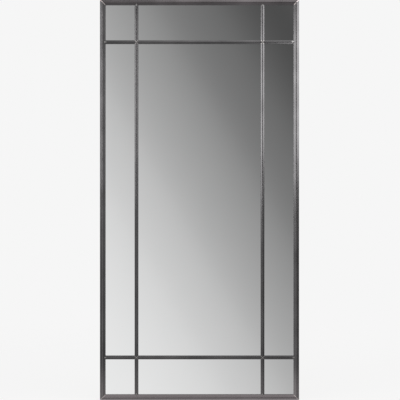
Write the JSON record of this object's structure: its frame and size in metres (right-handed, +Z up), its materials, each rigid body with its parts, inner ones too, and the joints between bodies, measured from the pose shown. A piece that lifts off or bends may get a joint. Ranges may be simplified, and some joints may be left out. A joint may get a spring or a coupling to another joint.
{
  "type": "floor mirror",
  "caption": "Tall leaning floor mirror in a dark gabled metal frame, with crossing glazing bars over one sheet, a turn-button back board and swinging D-rings.",
  "frame": {"origin": "middle of the underside of the bottom rail, centred in width and depth", "axes": "+Z up along the stiles, +Y backwards to the wall, the mirror faces -Y, +X to the viewer's right"},
  "size_m": [0.9, 0.0314, 1.81],
  "materials": {
    "frame_metal": "satin gunmetal patina, worn lighter along ridge and mitres",
    "muntin_metal": "satin gunmetal patina",
    "silvered_glass": "mirror",
    "fibreboard": "raw smooth fibreboard",
    "plated_steel": "bright zinc plating",
    "key_metal": "as die-cast",
    "bumper_rubber": "matt moulded",
    "foam_tape": "matt foam"
  },
  "bodies": {
    "mirror": {"frame_left_stile": "frame_metal", "frame_right_stile": "frame_metal", "frame_bottom_rail": "frame_metal", "frame_top_rail": "frame_metal", "muntin_lower_bar": "muntin_metal", "muntin_upper_bar": "muntin_metal", "muntin_left_bottom": "muntin_metal", "muntin_left_middle": "muntin_metal", "muntin_left_top": "muntin_metal", "muntin_right_bottom": "muntin_metal", "muntin_right_middle": "muntin_metal", "muntin_right_top": "muntin_metal", "corner_key_bottom_left": "key_metal", "corner_key_bottom_right": "key_metal", "corner_key_top_left": "key_metal", "corner_key_top_right": "key_metal", "corner_key_screws": "plated_steel", "turn_button_screws": "plated_steel", "hanger_screws": "plated_steel", "bumper_screws": "plated_steel", "hanger_strap_left": "plated_steel", "hanger_strap_right": "plated_steel", "wall_bumper_bottom_left": "bumper_rubber", "wall_bumper_bottom_right": "bumper_rubber", "wall_bumper_top_left": "bumper_rubber", "wall_bumper_top_right": "bumper_rubber", "setting_blocks": "bumper_rubber", "glazing_tapes": "foam_tape", "muntin_tapes": "foam_tape", "mirror_glass": "silvered_glass", "back_panel": "fibreboard"},
    "turn_button_left_lower": {"turn_button_left_lower": "plated_steel"},
    "turn_button_left_middle": {"turn_button_left_middle": "plated_steel"},
    "turn_button_left_upper": {"turn_button_left_upper": "plated_steel"},
    "turn_button_right_lower": {"turn_button_right_lower": "plated_steel"},
    "turn_button_right_middle": {"turn_button_right_middle": "plated_steel"},
    "turn_button_right_upper": {"turn_button_right_upper": "plated_steel"},
    "turn_button_bottom_left": {"turn_button_bottom_left": "plated_steel"},
    "turn_button_bottom_right": {"turn_button_bottom_right": "plated_steel"},
    "turn_button_top_left": {"turn_button_top_left": "plated_steel"},
    "turn_button_top_right": {"turn_button_top_right": "plated_steel"},
    "hanger_ring_left": {"hanger_ring_left": "plated_steel"},
    "hanger_ring_right": {"hanger_ring_right": "plated_steel"}
  },
  "joints": [
    {"name": "turn_button_left_lower_pivot", "type": "hinge", "parent": "mirror", "child": "turn_button_left_lower", "pos_m": [-0.44025, 0.00631, 0.25], "axis": [0, 1, 0], "range_deg": [-100, 100]},
    {"name": "turn_button_left_middle_pivot", "type": "hinge", "parent": "mirror", "child": "turn_button_left_middle", "pos_m": [-0.44025, 0.00631, 0.905], "axis": [0, 1, 0], "range_deg": [-100, 100]},
    {"name": "turn_button_left_upper_pivot", "type": "hinge", "parent": "mirror", "child": "turn_button_left_upper", "pos_m": [-0.44025, 0.00631, 1.56], "axis": [0, 1, 0], "range_deg": [-100, 100]},
    {"name": "turn_button_right_lower_pivot", "type": "hinge", "parent": "mirror", "child": "turn_button_right_lower", "pos_m": [0.44025, 0.00631, 0.25], "axis": [0, 1, 0], "range_deg": [-100, 100]},
    {"name": "turn_button_right_middle_pivot", "type": "hinge", "parent": "mirror", "child": "turn_button_right_middle", "pos_m": [0.44025, 0.00631, 0.905], "axis": [0, 1, 0], "range_deg": [-100, 100]},
    {"name": "turn_button_right_upper_pivot", "type": "hinge", "parent": "mirror", "child": "turn_button_right_upper", "pos_m": [0.44025, 0.00631, 1.56], "axis": [0, 1, 0], "range_deg": [-100, 100]},
    {"name": "turn_button_bottom_left_pivot", "type": "hinge", "parent": "mirror", "child": "turn_button_bottom_left", "pos_m": [-0.225, 0.00631, 0.00975], "axis": [0, 1, 0], "range_deg": [-100, 100]},
    {"name": "turn_button_bottom_right_pivot", "type": "hinge", "parent": "mirror", "child": "turn_button_bottom_right", "pos_m": [0.225, 0.00631, 0.00975], "axis": [0, 1, 0], "range_deg": [-100, 100]},
    {"name": "turn_button_top_left_pivot", "type": "hinge", "parent": "mirror", "child": "turn_button_top_left", "pos_m": [-0.225, 0.00631, 1.80025], "axis": [0, 1, 0], "range_deg": [-100, 100]},
    {"name": "turn_button_top_right_pivot", "type": "hinge", "parent": "mirror", "child": "turn_button_top_right", "pos_m": [0.225, 0.00631, 1.80025], "axis": [0, 1, 0], "range_deg": [-100, 100]},
    {"name": "hanger_ring_left_swing", "type": "hinge", "parent": "mirror", "child": "hanger_ring_left", "pos_m": [-0.436, 0.00876, 1.41], "axis": [1, 0, 0], "range_deg": [0, 175]},
    {"name": "hanger_ring_right_swing", "type": "hinge", "parent": "mirror", "child": "hanger_ring_right", "pos_m": [0.436, 0.00876, 1.41], "axis": [1, 0, 0], "range_deg": [0, 175]}
  ]
}
